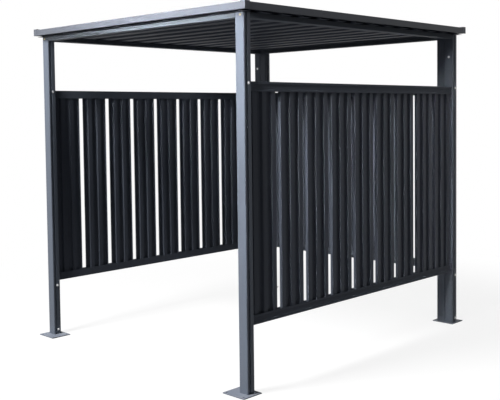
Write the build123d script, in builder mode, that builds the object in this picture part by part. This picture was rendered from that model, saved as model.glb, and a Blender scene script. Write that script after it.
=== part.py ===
"""Open-fronted bike shelter of roll-formed sheet steel: six posts, a flat roof and three slatted walls.

The origin is on the floor at the middle of the plan. X runs to the right, Y to the back, Z up.
The open side faces -Y. All sizes are in millimetres.
"""
import os
from build123d import *

# Plan, over the outer faces of the posts
width = 1800
depth = 2000

# Posts and feet
post_width = 60
post_depth = 50
post_steel = 2
post_bend = 5
post_groove_from_front = 10
post_groove_width = 14
post_groove_depth = 5
foot_thickness = 5
foot_length = 150
foot_breadth = 130
foot_beyond_front = 55
foot_beside_front_post = 25
foot_beside_rear_post = 12
anchor_hole = 11
anchor_edge = 15
tongue_height = 60
tongue_steel = 3
tab_height = 30
tab_width = 40
seat_gap = 0.3

# Beams under the roof
beam_underside = 1885
beam_height = 27
beam_steel = 2
beam_bend = 3

# Roof sheets, with ribs from side to side
sheet_steel = 1
rib_pitch = 153
rib_height = 42
rib_crest = 40
rib_slope = 21
sheet_lap_front = -480
sheet_rib_count = 7

# Trim round the roof
roof_beyond_sides = 45
roof_beyond_ends = 35
trim_above_beam = 8
trim_steel = 1.5
trim_bend = 2
trim_top_flange = 130
trim_bottom_flange = 15
cap_leg = 35
cap_steel = 1.5
cap_rise = 3

# Walls
wall_bottom = 347
wall_top = 1572
wall_inset = 8
rail_height = 50
rail_depth = 30
rail_steel = 1.5
rail_lip = 10
rail_lower_lip = 14
rail_recess = 5
slat_steel = 1
slat_ribs = 3
side_slats = 9
slat_crest = 30
slat_slope = 6
slat_depth = 14

side_span = depth - 2 * post_depth
back_span = width - 4 * post_width
slat_module = side_span / side_slats
back_slats = int(back_span // slat_module)
slat_pitch = slat_module / slat_ribs
slat_gap = slat_pitch - 2 * slat_slope - slat_crest
sheet_bottom = beam_underside + beam_height

os.makedirs("parts", exist_ok=True)


def save(piece, name):
    """Label a finished piece and write it to its own file."""
    piece.part.label = name
    export_step(piece.part, f"parts/{name}.step")


# Posts
def post(x, y):
    """A closed roll-formed post with a groove down each side, standing on its foot plate."""
    groove_y = -post_depth / 2 + post_groove_from_front + post_groove_width / 2
    with BuildPart() as piece:
        with BuildSketch(Plane(origin=(x, y, foot_thickness))):
            RectangleRounded(post_width, post_depth, post_bend)
            with Locations((-post_width / 2, groove_y), (post_width / 2, groove_y)):
                Rectangle(2 * post_groove_depth, post_groove_width, mode=Mode.SUBTRACT)
            offset(amount=-post_steel, kind=Kind.INTERSECTION, mode=Mode.SUBTRACT)
        extrude(amount=sheet_bottom - foot_thickness)
    return piece


front_post_y = -depth / 2 + post_depth / 2
rear_post_y = depth / 2 - post_depth / 2
outer_post_x = width / 2 - post_width / 2
inner_post_x = outer_post_x - post_width

for side, name in ((-1, "left"), (1, "right")):
    save(post(side * outer_post_x, front_post_y), f"front_post_{name}")
    save(post(side * outer_post_x, rear_post_y), f"corner_post_{name}")
    save(post(side * inner_post_x, rear_post_y), f"back_post_{name}")


# Feet
def foot(post_xs, post_y, plate_x, plate_y, tab_x, tab_y):
    """A base plate with four anchor holes, tongues inside the posts and a tab behind them."""
    hollow_x = post_width - 2 * (post_groove_depth + post_steel + seat_gap)
    hollow_y = post_depth - 2 * (post_steel + seat_gap)
    top = Plane.XY.offset(foot_thickness)
    with BuildPart() as piece:
        with BuildSketch():
            with Locations((plate_x, plate_y)):
                Rectangle(foot_length, foot_breadth)
                with GridLocations(foot_length - 2 * anchor_edge, foot_breadth - 2 * anchor_edge, 2, 2):
                    Circle(anchor_hole / 2, mode=Mode.SUBTRACT)
        extrude(amount=foot_thickness)
        with BuildSketch(top):
            with Locations(*[(x, post_y) for x in post_xs]):
                Rectangle(hollow_x, hollow_y)
                Rectangle(hollow_x - 2 * tongue_steel, hollow_y, mode=Mode.SUBTRACT)
        extrude(amount=tongue_height)
        with BuildSketch(top):
            with Locations((tab_x, tab_y)):
                Rectangle(tab_width, tongue_steel)
        extrude(amount=tab_height)
    return piece


foot_y = depth / 2 + foot_beyond_front - foot_breadth / 2
tab_y = post_depth / 2 + seat_gap + tongue_steel / 2
for side, name in ((-1, "left"), (1, "right")):
    front_x = side * (width / 2 + foot_beside_front_post - foot_length / 2)
    rear_x = side * (width / 2 + foot_beside_rear_post - foot_length / 2)
    outer = side * outer_post_x
    inner = side * inner_post_x
    front_foot = foot([outer], front_post_y, front_x, -foot_y, outer, front_post_y + tab_y)
    rear_foot = foot([outer, inner], rear_post_y, rear_x, foot_y, inner, rear_post_y - tab_y)
    save(front_foot, f"foot_front_{name}")
    save(rear_foot, f"foot_rear_{name}")


# Beams
def beam(plane, across, length):
    """A hollow beam that starts on the plane and runs along its normal."""
    with BuildPart() as piece:
        with BuildSketch(plane):
            RectangleRounded(across, beam_height, beam_bend)
            offset(amount=-beam_steel, kind=Kind.INTERSECTION, mode=Mode.SUBTRACT)
        extrude(amount=length)
    return piece


beam_z = beam_underside + beam_height / 2
for y, length, name in ((front_post_y, width - 2 * post_width, "front"), (rear_post_y, back_span, "back")):
    start = Plane(origin=(-length / 2, y, beam_z), x_dir=(0, 1, 0), z_dir=(1, 0, 0))
    save(beam(start, post_depth, length), f"{name}_beam")
for side, name in ((-1, "left"), (1, "right")):
    start = Plane(origin=(side * outer_post_x, -side_span / 2, beam_z), x_dir=(-1, 0, 0), z_dir=(0, 1, 0))
    save(beam(start, post_width, side_span), f"{name}_beam")


# Roof sheets
roof_half_x = width / 2 + roof_beyond_sides
roof_half_y = depth / 2 + roof_beyond_ends
trim_half_x = roof_half_x - cap_steel - seat_gap
trim_half_y = roof_half_y - cap_steel - seat_gap
sheet_half_x = trim_half_x - trim_bottom_flange - seat_gap
sheet_half_y = trim_half_y - trim_bottom_flange - seat_gap
sheet_top = sheet_bottom + rib_height + sheet_steel
sheet_lap_back = sheet_lap_front + sheet_rib_count * rib_pitch
rib_reach = rib_crest / 2 + rib_slope
whole_ribs_front = int((sheet_lap_front - rib_reach + sheet_half_y) // rib_pitch)
whole_ribs_back = int((sheet_half_y - rib_reach - sheet_lap_back) // rib_pitch)


def roof_sheet(first_rib, last_rib, front_edge=None, back_edge=None):
    """A ribbed sheet with its whole ribs from first_rib to last_rib, counted from the front lap.

    An edge is a place in Y on flat sheet, or None where the sheet ends on the crest of the rib that
    it shares with its neighbour.
    """
    high = sheet_bottom + rib_height
    points = []
    if front_edge is None:
        crest_middle = sheet_lap_front + (first_rib - 1) * rib_pitch
        points += [(crest_middle + seat_gap / 2, high), (crest_middle + rib_crest / 2, high)]
        points.append((crest_middle + rib_reach, sheet_bottom))
    else:
        points.append((front_edge, sheet_bottom))
    for index in range(first_rib, last_rib + 1):
        centre = sheet_lap_front + index * rib_pitch
        points += [(centre - rib_reach, sheet_bottom), (centre - rib_crest / 2, high)]
        points += [(centre + rib_crest / 2, high), (centre + rib_reach, sheet_bottom)]
    if back_edge is None:
        crest_middle = sheet_lap_front + (last_rib + 1) * rib_pitch
        points += [(crest_middle - rib_reach, sheet_bottom), (crest_middle - rib_crest / 2, high)]
        points.append((crest_middle - seat_gap / 2, high))
    else:
        points.append((back_edge, sheet_bottom))
    with BuildPart() as piece:
        with BuildSketch(Plane.YZ.offset(-sheet_half_x)):
            with BuildLine():
                Polyline(*points)
                offset(amount=sheet_steel, side=Side.LEFT, kind=Kind.INTERSECTION)
            make_face()
        extrude(amount=2 * sheet_half_x)
    return piece


last_back_rib = sheet_rib_count + whole_ribs_back
save(roof_sheet(-whole_ribs_front, -1, front_edge=-sheet_half_y), "roof_sheet_front")
save(roof_sheet(1, sheet_rib_count - 1), "roof_sheet_middle")
save(roof_sheet(sheet_rib_count + 1, last_back_rib, back_edge=sheet_half_y), "roof_sheet_back")


# Roof trim
trim_bottom = sheet_bottom + trim_above_beam
trim_top = sheet_top + seat_gap + trim_steel


def trim(plane, half_length):
    """An edge trim, mitred at both ends: outer face, wide flange over the sheet, narrow flange below.

    The plane stands at the middle of the trim. On it, x runs inwards from the outer face and y up.
    """
    outline = [(trim_bottom_flange, trim_bottom), (0, trim_bottom)]
    outline += [(0, trim_top), (trim_top_flange, trim_top)]
    with BuildPart() as piece:
        with BuildSketch(plane):
            with BuildLine():
                FilletPolyline(*outline, radius=trim_bend)
                offset(amount=trim_steel, side=Side.RIGHT)
            make_face()
        extrude(amount=half_length, both=True)
        for end in (plane.z_dir, -plane.z_dir):
            corner = plane.origin + end * (half_length - seat_gap)
            split(bisect_by=Plane(origin=corner, z_dir=plane.x_dir + end), keep=Keep.BOTTOM)
    return piece


front_plane = Plane(origin=(0, -trim_half_y, 0), x_dir=(0, 1, 0), z_dir=(1, 0, 0))
back_plane = Plane(origin=(0, trim_half_y, 0), x_dir=(0, -1, 0), z_dir=(-1, 0, 0))
left_plane = Plane(origin=(-trim_half_x, 0, 0), x_dir=(1, 0, 0), z_dir=(0, -1, 0))
right_plane = Plane(origin=(trim_half_x, 0, 0), x_dir=(-1, 0, 0), z_dir=(0, 1, 0))
save(trim(front_plane, trim_half_x), "front_trim")
save(trim(back_plane, trim_half_x), "back_trim")
save(trim(left_plane, trim_half_y), "left_trim")
save(trim(right_plane, trim_half_y), "right_trim")


# Corner caps
cap_top = trim_top + cap_rise + cap_steel


def corner_cap(side_x, side_y):
    """An angle with a small top that covers the end of two trims."""
    with BuildPart() as piece:
        with BuildSketch(Plane.XY.offset(trim_bottom)):
            with Locations((side_x * (roof_half_x - cap_leg / 2), side_y * (roof_half_y - cap_leg / 2))):
                Rectangle(cap_leg, cap_leg)
            inner = cap_leg - cap_steel
            inner_x = side_x * (roof_half_x - cap_steel - inner / 2)
            inner_y = side_y * (roof_half_y - cap_steel - inner / 2)
            with Locations((inner_x, inner_y)):
                Rectangle(inner, inner, mode=Mode.SUBTRACT)
        extrude(amount=cap_top - cap_steel - trim_bottom)
        with BuildSketch(Plane.XY.offset(cap_top - cap_steel)):
            with Locations((side_x * (roof_half_x - cap_leg / 2), side_y * (roof_half_y - cap_leg / 2))):
                Rectangle(cap_leg, cap_leg)
        extrude(amount=cap_steel)
    return piece


for side_x, name_x in ((-1, "left"), (1, "right")):
    for side_y, name_y in ((-1, "front"), (1, "back")):
        save(corner_cap(side_x, side_y), f"corner_cap_{name_y}_{name_x}")


# Wall rails
def rail(plane, length):
    """A channel that holds the ends of the slats, with a recess along its outer face.

    On the plane, x runs inwards from the outer face, and y from the web to the open side.
    """
    with BuildPart() as piece:
        with BuildSketch(plane):
            Rectangle(rail_depth, rail_height, align=Align.MIN)
            with Locations((0, rail_lower_lip)):
                recess_height = rail_height - rail_lower_lip - rail_lip
                Rectangle(rail_recess, recess_height, align=Align.MIN, mode=Mode.SUBTRACT)
            offset(amount=-rail_steel, kind=Kind.INTERSECTION, mode=Mode.SUBTRACT)
            with Locations((rail_steel, rail_height - rail_steel)):
                Rectangle(rail_depth - 2 * rail_steel, rail_steel, align=Align.MIN, mode=Mode.SUBTRACT)
        extrude(amount=length)
    return piece


outer_x = width / 2 - wall_inset
outer_y = depth / 2 - wall_inset
walls = {
    "right": (Vector(outer_x, -side_span / 2), Vector(0, 1), Vector(1, 0), side_span),
    "left": (Vector(-outer_x, -side_span / 2), Vector(0, 1), Vector(-1, 0), side_span),
    "back": (Vector(back_span / 2, outer_y), Vector(-1, 0), Vector(0, 1), back_span),
}
for side, (start, along, outward, span) in walls.items():
    for level, z, up in (("bottom", wall_bottom, Vector(0, 0, 1)), ("top", wall_top, Vector(0, 0, -1))):
        across = -outward
        normal = across.cross(up)
        near_end = start if normal.dot(along) > 0 else start + along * span
        save(rail(Plane(near_end + Vector(0, 0, z), across, normal), span), f"{side}_{level}_rail")


# Slats
slat_bottom = wall_bottom + rail_steel + seat_gap
slat_top = wall_top - rail_steel - seat_gap
slat_face = rail_steel + rail_recess + seat_gap
slat_width = slat_module - slat_gap


def slat_points(start):
    """The outer surface of one slat in plan: crests at the slat face and valleys behind them."""
    high = -slat_face
    low = slat_steel - slat_face - slat_depth
    points = []
    for index in range(slat_ribs):
        edge = start + index * slat_pitch
        points += [(edge, low), (edge + slat_slope, high)]
        points += [(edge + slat_slope + slat_crest, high), (edge + 2 * slat_slope + slat_crest, low)]
    return points


def slats(plane, starts):
    """The slats of one wall. On the plane, x runs along the wall and y outwards."""
    with BuildPart() as piece:
        for start in starts:
            with BuildSketch(plane):
                with BuildLine():
                    Polyline(*slat_points(start))
                    offset(amount=slat_steel, side=Side.RIGHT, kind=Kind.INTERSECTION)
                make_face()
            extrude(amount=slat_top - slat_bottom)
    return piece


for side, (start, along, outward, span) in walls.items():
    count = back_slats if side == "back" else side_slats
    end_gap = seat_gap if side == "back" else slat_gap / 2
    slat_step = (span - 2 * end_gap - slat_width) / (count - 1)
    normal = along.cross(outward)
    end_height = slat_bottom if normal.Z > 0 else slat_top
    plane = Plane(start + Vector(0, 0, end_height), along, normal)
    save(slats(plane, [end_gap + index * slat_step for index in range(count)]), f"{side}_wall_slats")
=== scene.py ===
"""The looks of a bike shelter of bent sheet steel: its finishes, bent sheets, fixings and studio.

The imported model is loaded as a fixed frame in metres, +Z up, with the open front facing -Y.
"""
import math

import bmesh
import bpy
from bpy.props import FloatProperty, FloatVectorProperty, IntProperty, PointerProperty
from mathutils import Matrix, Vector


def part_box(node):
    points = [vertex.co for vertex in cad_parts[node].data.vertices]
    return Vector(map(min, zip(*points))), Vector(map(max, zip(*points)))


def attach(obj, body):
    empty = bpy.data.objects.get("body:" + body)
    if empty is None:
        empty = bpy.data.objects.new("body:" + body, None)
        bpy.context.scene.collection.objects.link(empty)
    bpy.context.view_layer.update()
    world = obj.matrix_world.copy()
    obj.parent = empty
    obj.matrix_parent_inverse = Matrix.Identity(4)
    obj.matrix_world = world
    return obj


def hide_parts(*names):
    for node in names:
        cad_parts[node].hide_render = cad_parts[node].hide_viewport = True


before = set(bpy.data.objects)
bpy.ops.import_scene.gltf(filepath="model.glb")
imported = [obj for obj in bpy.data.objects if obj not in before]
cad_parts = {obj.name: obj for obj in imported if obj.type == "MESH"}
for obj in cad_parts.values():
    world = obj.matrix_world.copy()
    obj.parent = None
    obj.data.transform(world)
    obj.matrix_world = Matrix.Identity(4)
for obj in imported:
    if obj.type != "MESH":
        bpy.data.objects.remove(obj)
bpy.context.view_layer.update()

bl_info = {
    "name": "Bike shelter",
    "version": (1, 0, 0),
    "blender": (4, 5, 0),
    "location": "3D View > Sidebar > Shelter",
    "description": "Dresses a steel bike shelter with its coat, bent sheets, fixings and studio",
    "category": "Object",
}

WALLS = ("left", "right", "back")
SHEETS = ("front", "middle", "back")
SIDES = ("left", "right")
EDGES = ("front", "back", "left", "right")

# Finishes by name. A colour is named by its setting and dust is a share of the common dust
COATS = {
    "frame_coat": {"colour": "frame_colour", "roughness": 0.42, "lines": 0.06},
    # The rails' coat is a little darker than the frame coat: painted shade for the rails, which stand in
    # shade.
    "rail_coat": {"colour": "rail_colour", "roughness": 0.5, "lines": 0.06, "specular": 0.08},
    # The beams' coat is lighter than the frame coat: painted light that brightens the beams in the shade
    # under the roof trim.
    "beam_coat": {"colour": "beam_lit_colour", "roughness": 0.6, "specular": 0.06},
    "slat_coat": {"colour": "slat_colour", "roughness": 0.44, "lines": 0.1, "specular": 0.1, "relief": 0.15},
    "roof_coat": {"colour": "roof_colour", "roughness": 0.6, "specular": 0.12, "dust": 1.6},
    # The trims' coat is darker and greyer than the frame coat: painted shade that holds down the lamps' light
    # on the roof edge; the corner caps and roof screws share it.
    "trim_coat": {"colour": "trim_shade_colour", "roughness": 0.4},
    "foot_coat": {"colour": "foot_colour", "roughness": 0.48, "dust": 1.8},
}
PLATINGS = {
    "bright_zinc": {"colour": "zinc_colour", "roughness": 0.28},
    "yellow_zinc": {"colour": "passivated_colour", "roughness": 0.32},
}

# Folds and edges of the CAD pieces, in degrees
FLAT_ANGLE = 0.5
FOLD_ANGLE = 20
SMOOTH_ANGLE = 38
CUT_ANGLE = 40


class ShelterFinish(bpy.types.PropertyGroup):
    """Colours and grain of the painted and plated steel."""

    frame_colour: FloatVectorProperty(
        name="Frame colour", description="Powder coat of the posts", subtype="COLOR",
        size=3, min=0, max=1, default=(0.125, 0.145, 0.182))
    # A little darker than the frame colour: painted shade for the rails, which stand in shade.
    rail_colour: FloatVectorProperty(
        name="Shaded rail colour", description="Powder coat of the wall rails, a little darker than the frame coat as painted shade", subtype="COLOR",
        size=3, min=0, max=1, default=(0.12, 0.136, 0.17))
    # Lighter than the frame colour: painted light for the beams, which stand in the shade under the roof
    # trim.
    beam_lit_colour: FloatVectorProperty(
        name="Lit beam colour", description="Coat of the beams under the roof, lighter than the frame coat as painted light", subtype="COLOR",
        size=3, min=0, max=1, default=(0.165, 0.185, 0.215))
    slat_colour: FloatVectorProperty(
        name="Slat colour", description="Powder coat of the wall slats", subtype="COLOR",
        size=3, min=0, max=1, default=(0.104, 0.118, 0.15))
    roof_colour: FloatVectorProperty(
        name="Roof colour", description="Coating of the ribbed roof sheets", subtype="COLOR",
        size=3, min=0, max=1, default=(0.095, 0.106, 0.132))
    # Darker and greyer than the frame colour: painted shade that holds down the lamps' light on the roof
    # edge.
    trim_shade_colour: FloatVectorProperty(
        name="Shaded trim colour", description="Powder coat of the roof trims and corner caps, darker than the frame coat as painted shade", subtype="COLOR",
        size=3, min=0, max=1, default=(0.112, 0.122, 0.146))
    foot_colour: FloatVectorProperty(
        name="Foot colour", description="Powder coat of the base plates", subtype="COLOR",
        size=3, min=0, max=1, default=(0.17, 0.19, 0.235))
    dust_colour: FloatVectorProperty(
        name="Dust colour", description="Pale dust on level faces and in splashes from the ground",
        subtype="COLOR", size=3, min=0, max=1, default=(0.33, 0.33, 0.32))
    zinc_colour: FloatVectorProperty(
        name="Zinc colour", description="Bright zinc of the post screws", subtype="COLOR",
        size=3, min=0, max=1, default=(0.78, 0.79, 0.8))
    passivated_colour: FloatVectorProperty(
        name="Yellow zinc colour", description="Yellow passivated zinc of the beam screws", subtype="COLOR",
        size=3, min=0, max=1, default=(0.66, 0.6, 0.36))
    grain_size: FloatProperty(
        name="Coat grain", description="Width of one grain of the fine-textured coat", unit="LENGTH",
        min=0.0002, max=0.01, default=0.0012, precision=4)
    grain_height: FloatProperty(
        name="Coat relief", description="Height of the coat's grain", unit="LENGTH",
        min=0, max=0.001, default=0.00008, precision=5)
    dust: FloatProperty(
        name="Dust", description="How much dust lies on the level faces", subtype="FACTOR",
        min=0, max=1, default=0.16)


class ShelterBends(bpy.types.PropertyGroup):
    """How far the folds of the sheets are rounded."""

    slat_bend: FloatProperty(
        name="Slat bend", description="Set-back of a rounded fold in the slats", unit="LENGTH",
        min=0.0002, max=0.003, default=0.0016, precision=4)
    roof_bend: FloatProperty(
        name="Roof bend", description="Set-back of a rounded fold in the roof sheets", unit="LENGTH",
        min=0.0002, max=0.006, default=0.003, precision=4)
    rail_bend: FloatProperty(
        name="Rail bend", description="Set-back of a rounded fold in the wall rails", unit="LENGTH",
        min=0.0002, max=0.0024, default=0.0022, precision=4)
    edge: FloatProperty(
        name="Plate edge", description="Rounding of the cut edges of plates and caps", unit="LENGTH",
        min=0.0001, max=0.001, default=0.0005, precision=4)
    segments: IntProperty(
        name="Bend segments", description="Faces across one rounded fold", min=1, max=8, default=3)


class ShelterFixings(bpy.types.PropertyGroup):
    """Sizes and places of the screws."""

    head_radius: FloatProperty(
        name="Head radius", description="Radius of a pan head", unit="LENGTH",
        min=0.002, max=0.02, default=0.0058, precision=4)
    head_height: FloatProperty(
        name="Head height", description="Height of a pan head above its washer", unit="LENGTH",
        min=0.001, max=0.01, default=0.0036, precision=4)
    washer_radius: FloatProperty(
        name="Washer radius", description="Radius of the washer under a head", unit="LENGTH",
        min=0.002, max=0.03, default=0.008, precision=4)
    washer_height: FloatProperty(
        name="Washer height", description="Thickness of the washer", unit="LENGTH",
        min=0.0005, max=0.004, default=0.0012, precision=4)
    screw_setback: FloatProperty(
        name="Screw setback", description="How far the screws in a post's side stand behind its middle",
        unit="LENGTH", min=-0.02, max=0.02, default=0.004, precision=3)
    beam_screw_shift: FloatProperty(
        name="Beam screw shift", description="How far a beam screw stands outwards from its post's middle",
        unit="LENGTH", min=-0.02, max=0.02, default=0.006, precision=3)
    trim_screw_inset: FloatProperty(
        name="Trim screw inset", description="How far a roof screw stands from the inner edge of its trim",
        unit="LENGTH", min=0.01, max=0.06, default=0.03, precision=3)
    trim_screw_count: IntProperty(
        name="Trim screws", description="Roof screws along the front trim and along the back trim",
        min=2, max=20, default=7)
    foot_screw_height: FloatProperty(
        name="Foot screw height", description="Height of the screws that hold a post on its foot",
        unit="LENGTH", min=0.01, max=0.1, default=0.034, precision=3)
    low_screw_height: FloatProperty(
        name="Lower rail screw height", description="Height of the screws under the bottom rails",
        unit="LENGTH", min=0.1, max=0.6, default=0.322, precision=3)
    high_screw_height: FloatProperty(
        name="Upper rail screw height", description="Height of the screws at the top rails", unit="LENGTH",
        min=1.0, max=1.8, default=1.564, precision=3)
    rear_screw_height: FloatProperty(
        name="Rear screw height", description="Height of the screw in the front of a rear corner post",
        unit="LENGTH", min=1.0, max=1.88, default=1.767, precision=3)


class ShelterStudio(bpy.types.PropertyGroup):
    """Camera, lamps and floor."""

    camera_place: FloatVectorProperty(
        name="Camera place", description="Where the camera stands", subtype="XYZ", unit="LENGTH",
        size=3, default=(3.8151, -3.9611, 1.4153))
    camera_turn: FloatVectorProperty(
        name="Camera turn", description="Yaw to the left, pitch up and roll of the camera", subtype="EULER",
        unit="ROTATION", size=3,
        default=(math.radians(44.2205), math.radians(-2.8577), math.radians(-0.6653)))
    lens: FloatProperty(
        name="Lens", description="Focal length on a 36 mm sensor", unit="CAMERA",
        min=10, max=200, default=60.76)
    lift: FloatProperty(
        name="Picture lift", description="Upward shift of the picture, as a share of its width",
        min=-0.5, max=0.5, default=-0.09)
    key_power: FloatProperty(
        name="Key lamp", description="Power of the large lamp high at the front", unit="POWER",
        min=0, max=5000, default=950)
    wall_power: FloatProperty(
        name="Wall lamp", description="Power of the far lamp that grazes the right wall", unit="POWER",
        min=0, max=2000, default=8)
    edge_power: FloatProperty(
        name="Edge lamp", description="Power of the long lamp before the front edge of the roof",
        unit="POWER", min=0, max=2000, default=7.5)
    surroundings: FloatProperty(
        name="Surroundings", description="Level of the soft light from all round", min=0, max=2, default=0.08)
    shadow: FloatProperty(
        name="Floor shadow", description="How much of the lamps' light and shade the floor shows",
        subtype="FACTOR", min=0, max=1, default=0.12)


def settings():
    """The scene's finish, bend and fixing values for this shelter."""
    scene = bpy.context.scene
    return scene.shelter_finish, scene.shelter_bends, scene.shelter_fixings


# Node helpers
def new_node(tree, kind, **values):
    """Add a node and set its fields and its input sockets."""
    node = tree.nodes.new(kind)
    for key, value in values.items():
        if hasattr(node, key):
            setattr(node, key, value)
        else:
            node.inputs[key.replace("_", " ")].default_value = value
    return node


def math_node(tree, operation, first, second=None, clamp=False):
    """A Math node fed by sockets or numbers; returns its output."""
    node = tree.nodes.new("ShaderNodeMath")
    node.operation = operation
    node.use_clamp = clamp
    for socket, source in zip(node.inputs, (first, second)):
        if source is None:
            continue
        if isinstance(source, (int, float)):
            socket.default_value = source
        else:
            tree.links.new(source, socket)
    return node.outputs[0]


def remap(tree, source, low, high, out_low=0.0, out_high=1.0):
    """Spread the part of a value between low and high over a new range."""
    node = tree.nodes.new("ShaderNodeMapRange")
    node.interpolation_type = "SMOOTHSTEP"
    for name, value in (("From Min", low), ("From Max", high), ("To Min", out_low), ("To Max", out_high)):
        node.inputs[name].default_value = value
    tree.links.new(source, node.inputs["Value"])
    return node.outputs["Result"]


def noise(tree, vector, scale, detail, stretch=(1, 1, 1), roughness=0.55):
    """Noise over a vector, stretched along the axes; returns its value."""
    mapping = tree.nodes.new("ShaderNodeMapping")
    mapping.inputs["Scale"].default_value = stretch
    tree.links.new(vector, mapping.inputs["Vector"])
    texture = tree.nodes.new("ShaderNodeTexNoise")
    texture.inputs["Detail"].default_value = detail
    texture.inputs["Roughness"].default_value = roughness
    if isinstance(scale, (int, float)):
        texture.inputs["Scale"].default_value = scale
    else:
        tree.links.new(scale, texture.inputs["Scale"])
    tree.links.new(mapping.outputs["Vector"], texture.inputs["Vector"])
    return texture.outputs["Fac"]


def blend_colour(tree, mask, first, second, mode="MIX"):
    """Blend two colours by a mask; returns the colour."""
    node = tree.nodes.new("ShaderNodeMix")
    node.data_type = "RGBA"
    node.blend_type = mode
    for socket, source in zip((node.inputs[0], node.inputs[6], node.inputs[7]), (mask, first, second)):
        if isinstance(source, (int, float)):
            socket.default_value = source
        elif isinstance(source, (tuple, list)):
            socket.default_value = (*source, 1.0)
        else:
            tree.links.new(source, socket)
    return node.outputs[2]


def new_group(name, inputs, outputs):
    """A shader node group with named sockets; returns its tree and its two end nodes."""
    tree = bpy.data.node_groups.new(name, "ShaderNodeTree")
    for label, kind, default in inputs:
        socket = tree.interface.new_socket(label, in_out="INPUT", socket_type=kind)
        if default is not None:
            socket.default_value = default
    for label, kind in outputs:
        tree.interface.new_socket(label, in_out="OUTPUT", socket_type=kind)
    return tree, tree.nodes.new("NodeGroupInput"), tree.nodes.new("NodeGroupOutput")


def coat_grain_group():
    """The fine grain of a textured powder coat, its roughness and the drift of its tone."""
    tree, given, result = new_group(
        "coat_grain",
        [("Vector", "NodeSocketVector", None), ("Grains per metre", "NodeSocketFloat", 800.0),
         ("Base roughness", "NodeSocketFloat", 0.45), ("Roughness drift", "NodeSocketFloat", 0.1)],
        [("Height", "NodeSocketFloat"), ("Roughness", "NodeSocketFloat"), ("Tone", "NodeSocketFloat")])
    vector = given.outputs["Vector"]
    grain = noise(tree, vector, given.outputs["Grains per metre"], 3.0)
    peel = noise(tree, vector, 90.0, 2.0)
    height = math_node(tree, "ADD", grain, math_node(tree, "MULTIPLY", peel, 0.4))
    tree.links.new(height, result.inputs["Height"])
    drift = noise(tree, vector, 3.1, 4.0)
    centred = math_node(tree, "SUBTRACT", drift, 0.5)
    spread = math_node(tree, "MULTIPLY", centred, given.outputs["Roughness drift"])
    roughness = math_node(tree, "ADD", given.outputs["Base roughness"], spread, clamp=True)
    tree.links.new(roughness, result.inputs["Roughness"])
    tree.links.new(remap(tree, drift, 0.3, 0.7), result.inputs["Tone"])
    return tree


def rolled_lines_group():
    """Faint lines that the rollers leave along a sheet."""
    tree, given, result = new_group(
        "rolled_lines",
        [("Vector", "NodeSocketVector", None)],
        [("Mask", "NodeSocketFloat")])
    upright = noise(tree, given.outputs["Vector"], 1.0, 3.0, stretch=(160, 160, 1.2))
    tree.links.new(remap(tree, upright, 0.35, 0.68), result.inputs["Mask"])
    return tree


def weather_group():
    """Dust on level faces, splashes near the ground and faint runs below edges."""
    tree, given, result = new_group(
        "weather",
        [("Vector", "NodeSocketVector", None), ("Colour", "NodeSocketColor", (0.1, 0.1, 0.1, 1)),
         ("Dust colour", "NodeSocketColor", (0.3, 0.3, 0.3, 1)), ("Dust", "NodeSocketFloat", 0.2)],
        [("Colour", "NodeSocketColor"), ("Mask", "NodeSocketFloat")])
    vector = given.outputs["Vector"]
    surface = tree.nodes.new("ShaderNodeNewGeometry")
    facing = tree.nodes.new("ShaderNodeSeparateXYZ")
    tree.links.new(surface.outputs["Normal"], facing.inputs[0])
    place = tree.nodes.new("ShaderNodeSeparateXYZ")
    tree.links.new(vector, place.inputs[0])
    patches = remap(tree, noise(tree, vector, 7.0, 6.0), 0.38, 0.72)
    level = math_node(tree, "MULTIPLY", remap(tree, facing.outputs["Z"], 0.55, 0.95), patches)
    splash = remap(tree, place.outputs["Z"], 0.0, 0.28, 1.0, 0.0)
    speckle = remap(tree, noise(tree, vector, 55.0, 5.0, roughness=0.7), 0.5, 0.72)
    low = math_node(tree, "MULTIPLY", splash, speckle)
    runs = remap(tree, noise(tree, vector, 1.0, 4.0, stretch=(26, 26, 1.6)), 0.55, 0.85, 0.0, 0.25)
    all_dust = math_node(tree, "ADD", math_node(tree, "MAXIMUM", level, low), runs, clamp=True)
    mask = math_node(tree, "MULTIPLY", all_dust, given.outputs["Dust"], clamp=True)
    tree.links.new(mask, result.inputs["Mask"])
    mixed = blend_colour(tree, mask, given.outputs["Colour"], given.outputs["Dust colour"])
    tree.links.new(mixed, result.inputs["Colour"])
    return tree


def group_node(tree, name):
    """Place a shared group in a material."""
    node = tree.nodes.new("ShaderNodeGroup")
    node.node_tree = bpy.data.node_groups[name]
    return node


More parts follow.
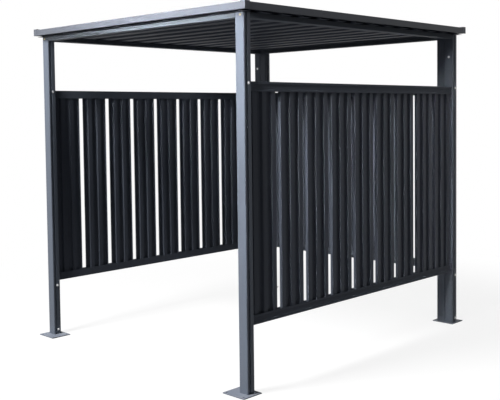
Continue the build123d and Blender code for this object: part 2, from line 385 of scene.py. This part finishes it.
def painted_steel(name, colour, roughness, dust=1.0, lines=0.0, specular=0.2, relief=0.35):
    """Fine-textured powder coat over steel, with the drift, lines and dust of a used surface."""
    finish, _, _ = settings()
    colour = getattr(finish, colour)
    material = bpy.data.materials.new(name)
    material.use_nodes = True
    tree = material.node_tree
    shader = tree.nodes["Principled BSDF"]
    shader.inputs["Specular IOR Level"].default_value = specular
    coordinates = tree.nodes.new("ShaderNodeTexCoord").outputs["Object"]
    grain = group_node(tree, "coat_grain")
    tree.links.new(coordinates, grain.inputs["Vector"])
    grain.inputs["Grains per metre"].default_value = 1 / finish.grain_size
    grain.inputs["Base roughness"].default_value = roughness
    deep = tuple(0.95 * c for c in colour)
    light = tuple(min(1.0, 1.05 * c) for c in colour)
    tone = blend_colour(tree, grain.outputs["Tone"], deep, light)
    if lines:
        rolled = group_node(tree, "rolled_lines")
        tree.links.new(coordinates, rolled.inputs["Vector"])
        strength = math_node(tree, "MULTIPLY", rolled.outputs["Mask"], lines)
        tone = blend_colour(tree, strength, tone, tuple(1.5 * c for c in colour))
    weather = group_node(tree, "weather")
    tree.links.new(coordinates, weather.inputs["Vector"])
    tree.links.new(tone, weather.inputs["Colour"])
    weather.inputs["Dust colour"].default_value = (*finish.dust_colour, 1)
    weather.inputs["Dust"].default_value = dust * finish.dust
    tree.links.new(weather.outputs["Colour"], shader.inputs["Base Color"])
    dull = math_node(tree, "MULTIPLY", weather.outputs["Mask"], 0.4)
    dusty = math_node(tree, "ADD", grain.outputs["Roughness"], dull, clamp=True)
    tree.links.new(dusty, shader.inputs["Roughness"])
    bump = new_node(tree, "ShaderNodeBump", Strength=relief, Distance=finish.grain_height)
    tree.links.new(grain.outputs["Height"], bump.inputs["Height"])
    tree.links.new(bump.outputs["Normal"], shader.inputs["Normal"])
    return material


def plated_steel(name, colour, roughness):
    """Zinc plating with the cloudy tone and fine scratches of a driven screw."""
    finish, _, _ = settings()
    colour = getattr(finish, colour)
    material = bpy.data.materials.new(name)
    material.use_nodes = True
    tree = material.node_tree
    shader = tree.nodes["Principled BSDF"]
    shader.inputs["Metallic"].default_value = 1.0
    coordinates = tree.nodes.new("ShaderNodeTexCoord").outputs["Object"]
    clouds = remap(tree, noise(tree, coordinates, 260.0, 4.0), 0.35, 0.7)
    dull = tuple(0.72 * c for c in colour)
    tree.links.new(blend_colour(tree, clouds, dull, tuple(colour)), shader.inputs["Base Color"])
    scratches = remap(tree, noise(tree, coordinates, 900.0, 3.0), 0.3, 0.7, roughness, roughness + 0.2)
    tree.links.new(scratches, shader.inputs["Roughness"])
    bump = new_node(tree, "ShaderNodeBump", Strength=0.5, Distance=0.0001)
    tree.links.new(noise(tree, coordinates, 1500.0, 3.0), bump.inputs["Height"])
    tree.links.new(bump.outputs["Normal"], shader.inputs["Normal"])
    return material


def finish_material(name):
    """A finish by name, made the first time it is asked for."""
    if name in bpy.data.materials:
        return bpy.data.materials[name]
    for group, make in (("coat_grain", coat_grain_group), ("rolled_lines", rolled_lines_group),
                        ("weather", weather_group)):
        if group not in bpy.data.node_groups:
            make()
    if name in COATS:
        return painted_steel(name, **COATS[name])
    if name in PLATINGS:
        return plated_steel(name, **PLATINGS[name])
    raise ValueError(f"no finish is named {name}")


# Mesh helpers
def coat_node(node, finish):
    """Give a CAD node its finish."""
    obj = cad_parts[node]
    material = finish_material(finish)
    if obj.material_slots:
        for slot in obj.material_slots:
            slot.material = material
    else:
        obj.data.materials.append(material)


def finished_piece(name, bm, finish):
    """Turn a bmesh into a piece of the shelter, with flat faces and smooth bends."""
    mesh = bpy.data.meshes.new(name)
    for face in bm.faces:
        face.smooth = True
    for edge in bm.edges:
        edge.smooth = len(edge.link_faces) != 2 or edge.calc_face_angle(0) < math.radians(SMOOTH_ANGLE)
    bm.to_mesh(mesh)
    bm.free()
    mesh.materials.append(finish_material(finish))
    piece = bpy.data.objects.new(name, mesh)
    bpy.context.scene.collection.objects.link(piece)
    weighted = piece.modifiers.new("flat faces", "WEIGHTED_NORMAL")
    weighted.keep_sharp = True
    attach(piece, "root")
    return piece


def merged_copy(node):
    """A copy of a CAD node with whole faces in place of loose triangles."""
    bm = bmesh.new()
    bm.from_mesh(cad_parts[node].data)
    bmesh.ops.remove_doubles(bm, verts=bm.verts, dist=0.00001)
    bmesh.ops.dissolve_limit(bm, angle_limit=math.radians(FLAT_ANGLE), verts=bm.verts, edges=bm.edges)
    return bm


def reach_from(edge, face):
    """How far a face reaches from one of its edges."""
    start = edge.verts[0].co
    along = (edge.verts[1].co - start).normalized()
    return max(((v.co - start) - (v.co - start).dot(along) * along).length for v in face.verts)


def bent_sheet(node, axis, setback, segments, finish):
    """A piece that stands for a CAD sheet, with each fold along the axis rounded."""
    bm = merged_copy(node)
    direction = Vector([float(i == axis) for i in range(3)])
    folds = []
    for edge in bm.edges:
        if len(edge.link_faces) != 2 or edge.calc_face_angle(0) < math.radians(FOLD_ANGLE):
            continue
        run = (edge.verts[1].co - edge.verts[0].co).normalized()
        reach = min(reach_from(edge, f) for f in edge.link_faces)
        if abs(run.dot(direction)) > 0.999 and reach > 2.2 * setback:
            folds.append(edge)
    if not folds:
        raise ValueError(f"{node} has no folds to round")
    bmesh.ops.bevel(bm, geom=folds, offset=setback, offset_type="OFFSET", segments=segments, profile=0.5,
                    affect="EDGES", material=-1, clamp_overlap=True)
    piece = finished_piece(f"bent_{node}", bm, finish)
    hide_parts(node)
    return piece


def eased_plate(node, setback, finish):
    """A piece that stands for a CAD plate, with its cut edges eased."""
    bm = merged_copy(node)
    limit = math.radians(CUT_ANGLE)
    sharp = [e for e in bm.edges if len(e.link_faces) == 2 and e.calc_face_angle(0) > limit]
    bmesh.ops.bevel(bm, geom=sharp, offset=setback, offset_type="OFFSET", segments=2, profile=0.5,
                    affect="EDGES", material=-1, clamp_overlap=True)
    piece = finished_piece(f"eased_{node}", bm, finish)
    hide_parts(node)
    return piece


def turned_to(normal, place):
    """The matrix that sets +Z along a normal at a place."""
    return Matrix.Translation(place) @ Vector(normal).to_track_quat("Z", "Y").to_matrix().to_4x4()


def top_face(faces):
    """The face of a new disc that faces up."""
    return max(faces, key=lambda f: f.calc_center_median().z)


def add_disc(bm, sides, radius, height, bottom):
    """A low cylinder standing on a height; returns its faces."""
    middle = Matrix.Translation((0, 0, bottom + height / 2))
    made = bmesh.ops.create_cone(bm, cap_ends=True, segments=sides, radius1=radius, radius2=radius,
                                 depth=height, matrix=middle)
    return list({f for v in made["verts"] for f in v.link_faces})


def screw_head(sides, scale):
    """A washer and a head standing on the origin, with a recess where the head is round; returns its mesh."""
    _, _, fixings = settings()
    rim = fixings.washer_radius * scale
    thick = fixings.washer_height * scale
    radius = fixings.head_radius * scale
    height = fixings.head_height * scale
    bm = bmesh.new()
    washer = top_face(add_disc(bm, 16, rim, thick, 0))
    bmesh.ops.inset_individual(bm, faces=[washer], thickness=rim * 0.16, depth=thick * 0.25)
    crown = top_face(add_disc(bm, sides, radius, height * 0.55, thick * 1.2))
    steps = [(0.14, 0.3), (0.3, 0.15)]
    if sides > 6:
        steps += [(0.08, 0), (0.02, -0.5)]
    for inset, rise in steps:
        bmesh.ops.inset_individual(bm, faces=[crown], thickness=radius * inset, depth=height * rise)
    mesh = bpy.data.meshes.new("head")
    bm.to_mesh(mesh)
    bm.free()
    return mesh


def screws(name, places, finish, sides=12, scale=1.0):
    """Screw heads on washers at places with outward normals, as one piece."""
    head = screw_head(sides, scale)
    whole = bmesh.new()
    for place, normal in places:
        known = len(whole.verts)
        whole.from_mesh(head)
        bmesh.ops.transform(whole, matrix=turned_to(normal, place), verts=list(whole.verts)[known:])
    bpy.data.meshes.remove(head)
    return finished_piece(name, whole, finish)


class SHELTER_OT_frame(bpy.types.Operator):
    """Coat the posts and the beams"""

    bl_idname = "shelter.frame"
    bl_label = "Coat posts and beams"

    def execute(self, context):
        for side in SIDES:
            for post in ("front_post", "corner_post", "back_post"):
                coat_node(f"{post}_{side}", "frame_coat")
        for edge in EDGES:
            coat_node(f"{edge}_beam", "beam_coat")
        return {"FINISHED"}


class SHELTER_OT_feet(bpy.types.Operator):
    """Ease the edges of the base plates and coat them"""

    bl_idname = "shelter.feet"
    bl_label = "Ease base plates"

    def execute(self, context):
        _, bends, _ = settings()
        for side in SIDES:
            for foot in ("foot_front", "foot_rear"):
                eased_plate(f"{foot}_{side}", bends.edge, "foot_coat")
        return {"FINISHED"}


class SHELTER_OT_roof(bpy.types.Operator):
    """Round the folds of the ribbed roof sheets and coat them"""

    bl_idname = "shelter.roof"
    bl_label = "Bend roof sheets"

    def execute(self, context):
        _, bends, _ = settings()
        for sheet in SHEETS:
            bent_sheet(f"roof_sheet_{sheet}", 0, bends.roof_bend, bends.segments, "roof_coat")
        return {"FINISHED"}


class SHELTER_OT_trim(bpy.types.Operator):
    """Coat the roof trims and ease the corner caps"""

    bl_idname = "shelter.trim"
    bl_label = "Finish roof trim"

    def execute(self, context):
        _, bends, _ = settings()
        for edge in EDGES:
            coat_node(f"{edge}_trim", "trim_coat")
        for side in SIDES:
            for end in ("front", "back"):
                eased_plate(f"corner_cap_{end}_{side}", bends.edge, "trim_coat")
        return {"FINISHED"}


class SHELTER_OT_rails(bpy.types.Operator):
    """Round the folds of the wall rails and coat them"""

    bl_idname = "shelter.rails"
    bl_label = "Bend wall rails"

    def execute(self, context):
        _, bends, _ = settings()
        for wall in WALLS:
            for level in ("bottom", "top"):
                axis = 0 if wall == "back" else 1
                rail = f"{wall}_{level}_rail"
                bent_sheet(rail, axis, bends.rail_bend, bends.segments, "rail_coat")
        return {"FINISHED"}


class SHELTER_OT_slats(bpy.types.Operator):
    """Round the folds of the ribbed slats and coat them"""

    bl_idname = "shelter.slats"
    bl_label = "Bend wall slats"

    def execute(self, context):
        _, bends, _ = settings()
        for wall in WALLS:
            bent_sheet(f"{wall}_wall_slats", 2, bends.slat_bend, bends.segments, "slat_coat")
        return {"FINISHED"}


class SHELTER_OT_post_screws(bpy.types.Operator):
    """Set the zinc screws that hold the feet and rails to the posts"""

    bl_idname = "shelter.post_screws"
    bl_label = "Set post screws"

    def execute(self, context):
        _, _, fixings = settings()
        levels = (fixings.foot_screw_height, fixings.low_screw_height, fixings.high_screw_height)
        places = []
        for side, sign in (("left", -1), ("right", 1)):
            low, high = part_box(f"front_post_{side}")
            inner, outer = (high.x, low.x) if sign < 0 else (low.x, high.x)
            middle = (low.y + high.y) / 2 + fixings.screw_setback
            places += [((inner, middle, z), (-sign, 0, 0)) for z in levels]
            places.append(((outer, middle, levels[2]), (sign, 0, 0)))
            low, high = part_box(f"corner_post_{side}")
            outer = low.x if sign < 0 else high.x
            middle = (low.y + high.y) / 2 + fixings.screw_setback
            places += [((outer, middle, z), (sign, 0, 0)) for z in levels]
            places.append((((low.x + high.x) / 2, low.y, fixings.rear_screw_height), (0, -1, 0)))
            low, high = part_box(f"back_post_{side}")
            inner = high.x if sign < 0 else low.x
            places += [((inner, middle, z), (-sign, 0, 0)) for z in levels]
        screws("post_screws", places, "bright_zinc")
        return {"FINISHED"}


class SHELTER_OT_beam_screws(bpy.types.Operator):
    """Set the yellow zinc screws that hold the beams to the corner posts"""

    bl_idname = "shelter.beam_screws"
    bl_label = "Set beam screws"

    def execute(self, context):
        _, _, fixings = settings()
        under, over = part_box("front_beam")
        places = []
        for post, facing in (("front_post", -1), ("corner_post", 1)):
            for side, sign in (("left", -1), ("right", 1)):
                low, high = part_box(f"{post}_{side}")
                x = (low.x + high.x) / 2 + sign * fixings.beam_screw_shift
                y = low.y if facing < 0 else high.y
                places.append(((x, y, (under.z + over.z) / 2), (0, facing, 0)))
        screws("beam_screws", places, "yellow_zinc", scale=0.8)
        return {"FINISHED"}


class SHELTER_OT_roof_screws(bpy.types.Operator):
    """Set the coated hexagon screws that hold the trims down on the ribs"""

    bl_idname = "shelter.roof_screws"
    bl_label = "Set roof screws"

    def execute(self, context):
        _, _, fixings = settings()
        inset = fixings.trim_screw_inset
        edge_clearance = 0.012
        corner_clearance = 0.15
        end_distance = 0.16
        crests = self.rib_crests()
        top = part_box("front_trim")[1].z
        places = []
        for edge in SIDES:
            low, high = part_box(f"{edge}_trim")
            x = high.x - inset if edge == "left" else low.x + inset
            for y in crests:
                if low.y + corner_clearance < y < high.y - corner_clearance:
                    places.append(((x, y, top), (0, 0, 1)))
        for edge, crest in (("front", crests[0]), ("back", crests[-1])):
            low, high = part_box(f"{edge}_trim")
            y = min(max(crest, low.y + inset), high.y - edge_clearance)
            pitch = (high.x - low.x - 2 * end_distance) / (fixings.trim_screw_count - 1)
            for step in range(fixings.trim_screw_count):
                places.append(((low.x + end_distance + step * pitch, y, top), (0, 0, 1)))
        screws("roof_screws", places, "trim_coat", sides=6, scale=0.78)
        return {"FINISHED"}

    def rib_crests(self):
        """The middles of the flat rib tops, from front to back."""
        lines = set()
        for sheet in SHEETS:
            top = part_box(f"roof_sheet_{sheet}")[1].z
            lines |= {round(v.co.y, 5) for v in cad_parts[f"roof_sheet_{sheet}"].data.vertices
                      if v.co.z > top - 0.0002}
        lines = sorted(lines)
        if len(lines) < 4:
            raise ValueError("the roof sheets have no ribs to screw to")
        return [(a + b) / 2 for a, b in zip(lines, lines[1:]) if 0.02 < b - a < 0.06]


class SHELTER_OT_studio(bpy.types.Operator):
    """Set up the floor, the lamps, the surroundings and the camera"""

    bl_idname = "shelter.studio"
    bl_label = "Set up studio"

    def execute(self, context):
        studio = context.scene.shelter_studio
        self.floor(studio)
        self.surroundings(studio)
        self.lamp("key_lamp", place=(-0.6, -5.0, 6.5), aim=(0, 0, 0.95), size=(1.6, 1.6), spread=180,
                  power=studio.key_power)
        self.lamp("wall_lamp", place=(1.5, -6.5, 3.0), aim=(0.95, 0.3, 1.0), size=(0.4, 0.4), spread=30,
                  power=studio.wall_power)
        self.lamp("edge_lamp", place=(0.4, -2.7, 2.3), aim=(0.25, -1.0, 1.9), size=(1.4, 0.12), spread=50,
                  power=studio.edge_power)
        self.camera(studio)
        context.scene.view_settings.view_transform = "Standard"
        return {"FINISHED"}

    def seen_directly(self, tree):
        """1 for a ray from the camera, a mirror or a clear surface, and 0 for any other."""
        path = tree.nodes.new("ShaderNodeLightPath")
        rays = path.outputs
        mirrored = math_node(tree, "MAXIMUM", rays["Is Glossy Ray"], rays["Is Transmission Ray"])
        return math_node(tree, "MAXIMUM", rays["Is Camera Ray"], mirrored)

    def floor(self, studio):
        """A level white floor that shows a soft shadow near the shelter."""
        bm = bmesh.new()
        bmesh.ops.create_grid(bm, x_segments=1, y_segments=1, size=60)
        mesh = bpy.data.meshes.new("studio_floor")
        bm.to_mesh(mesh)
        bm.free()
        material = bpy.data.materials.new("studio_floor")
        material.use_nodes = True
        tree = material.node_tree
        tree.nodes.clear()
        coordinates = tree.nodes.new("ShaderNodeTexCoord").outputs["Object"]
        length = tree.nodes.new("ShaderNodeVectorMath")
        length.operation = "LENGTH"
        tree.links.new(coordinates, length.inputs[0])
        share = remap(tree, length.outputs["Value"], 1.6, 3.4, studio.shadow, 0.0)
        white = new_node(tree, "ShaderNodeEmission", Color=(1, 1, 1, 1), Strength=1.0)
        pale = new_node(tree, "ShaderNodeBsdfDiffuse", Color=(0.95, 0.95, 0.95, 1))
        grey = new_node(tree, "ShaderNodeBsdfDiffuse", Color=(0.06, 0.06, 0.062, 1))
        shown = tree.nodes.new("ShaderNodeMixShader")
        tree.links.new(share, shown.inputs[0])
        tree.links.new(white.outputs[0], shown.inputs[1])
        tree.links.new(pale.outputs[0], shown.inputs[2])
        final = tree.nodes.new("ShaderNodeMixShader")
        tree.links.new(self.seen_directly(tree), final.inputs[0])
        tree.links.new(grey.outputs[0], final.inputs[1])
        tree.links.new(shown.outputs[0], final.inputs[2])
        output = tree.nodes.new("ShaderNodeOutputMaterial")
        tree.links.new(final.outputs[0], output.inputs[0])
        mesh.materials.append(material)
        floor = bpy.data.objects.new("studio_floor", mesh)
        bpy.context.scene.collection.objects.link(floor)

    def surroundings(self, studio):
        """White where it is seen, and a soft light that is weaker from the right."""
        world = bpy.data.worlds.new("studio")
        bpy.context.scene.world = world
        world.use_nodes = True
        tree = world.node_tree
        tree.nodes.clear()
        direction = tree.nodes.new("ShaderNodeTexCoord").outputs["Generated"]
        parts = tree.nodes.new("ShaderNodeSeparateXYZ")
        tree.links.new(direction, parts.inputs[0])
        from_left = 1.3 * studio.surroundings
        from_right = 0.5 * studio.surroundings
        level = remap(tree, parts.outputs["X"], -0.8, 0.8, from_left, from_right)
        soft = new_node(tree, "ShaderNodeBackground", Color=(0.93, 0.96, 1.0, 1))
        tree.links.new(level, soft.inputs["Strength"])
        white = new_node(tree, "ShaderNodeBackground", Color=(1, 1, 1, 1), Strength=1.0)
        mixed = tree.nodes.new("ShaderNodeMixShader")
        tree.links.new(self.seen_directly(tree), mixed.inputs[0])
        tree.links.new(soft.outputs[0], mixed.inputs[1])
        tree.links.new(white.outputs[0], mixed.inputs[2])
        output = tree.nodes.new("ShaderNodeOutputWorld")
        tree.links.new(mixed.outputs[0], output.inputs[0])

    def lamp(self, name, place, aim, size, spread, power):
        """A flat lamp of a width and height, aimed at a point, with its light held in a cone."""
        data = bpy.data.lights.new(name, "AREA")
        data.shape = "RECTANGLE"
        data.size, data.size_y = size
        data.spread = math.radians(spread)
        data.energy = power
        lamp = bpy.data.objects.new(name, data)
        bpy.context.scene.collection.objects.link(lamp)
        lamp.visible_camera = False
        ahead = Vector(aim) - Vector(place)
        lamp.matrix_world = Matrix.Translation(place) @ ahead.to_track_quat("-Z", "Y").to_matrix().to_4x4()

    def camera(self, studio):
        """The camera at the photograph's viewing angle."""
        yaw, pitch, roll = studio.camera_turn
        ahead = Vector((-math.sin(yaw) * math.cos(pitch), math.cos(yaw) * math.cos(pitch), math.sin(pitch)))
        level = Vector((math.cos(yaw), math.sin(yaw), 0))
        over = level.cross(ahead)
        right = level * math.cos(roll) + over * math.sin(roll)
        up = over * math.cos(roll) - level * math.sin(roll)
        data = bpy.data.cameras.new("camera")
        data.sensor_width = 36
        data.sensor_fit = "HORIZONTAL"
        data.lens = studio.lens
        data.shift_y = studio.lift
        camera = bpy.data.objects.new("camera", data)
        bpy.context.scene.collection.objects.link(camera)
        turn = Matrix((right, up, -ahead)).transposed().to_4x4()
        camera.matrix_world = Matrix.Translation(studio.camera_place) @ turn
        bpy.context.scene.camera = camera


OPERATORS = (
    SHELTER_OT_frame, SHELTER_OT_feet, SHELTER_OT_roof, SHELTER_OT_trim, SHELTER_OT_rails, SHELTER_OT_slats,
    SHELTER_OT_post_screws, SHELTER_OT_beam_screws, SHELTER_OT_roof_screws, SHELTER_OT_studio,
)
SETTINGS = {
    "shelter_finish": ShelterFinish,
    "shelter_bends": ShelterBends,
    "shelter_fixings": ShelterFixings,
    "shelter_studio": ShelterStudio,
}


class VIEW3D_PT_shelter(bpy.types.Panel):
    """Lists the shelter's pieces and their settings"""

    bl_label = "Bike shelter"
    bl_idname = "VIEW3D_PT_shelter"
    bl_space_type = "VIEW_3D"
    bl_region_type = "UI"
    bl_category = "Shelter"

    def draw(self, context):
        layout = self.layout
        for name in SETTINGS:
            group = getattr(context.scene, name)
            box = layout.box()
            for key in group.__annotations__:
                box.prop(group, key)
        for operator in OPERATORS:
            layout.operator(operator.bl_idname)


def register():
    for name, group in SETTINGS.items():
        bpy.utils.register_class(group)
        setattr(bpy.types.Scene, name, PointerProperty(type=group))
    for operator in OPERATORS:
        bpy.utils.register_class(operator)
    bpy.utils.register_class(VIEW3D_PT_shelter)


def unregister():
    bpy.utils.unregister_class(VIEW3D_PT_shelter)
    for operator in reversed(OPERATORS):
        bpy.utils.unregister_class(operator)
    for name, group in SETTINGS.items():
        delattr(bpy.types.Scene, name)
        bpy.utils.unregister_class(group)


def main():
    register()
    bpy.ops.shelter.studio()
    bpy.ops.shelter.frame()
    bpy.ops.shelter.feet()
    bpy.ops.shelter.roof()
    bpy.ops.shelter.trim()
    bpy.ops.shelter.rails()
    bpy.ops.shelter.slats()
    bpy.ops.shelter.post_screws()
    bpy.ops.shelter.beam_screws()
    bpy.ops.shelter.roof_screws()


if __name__ == "__main__":
    main()
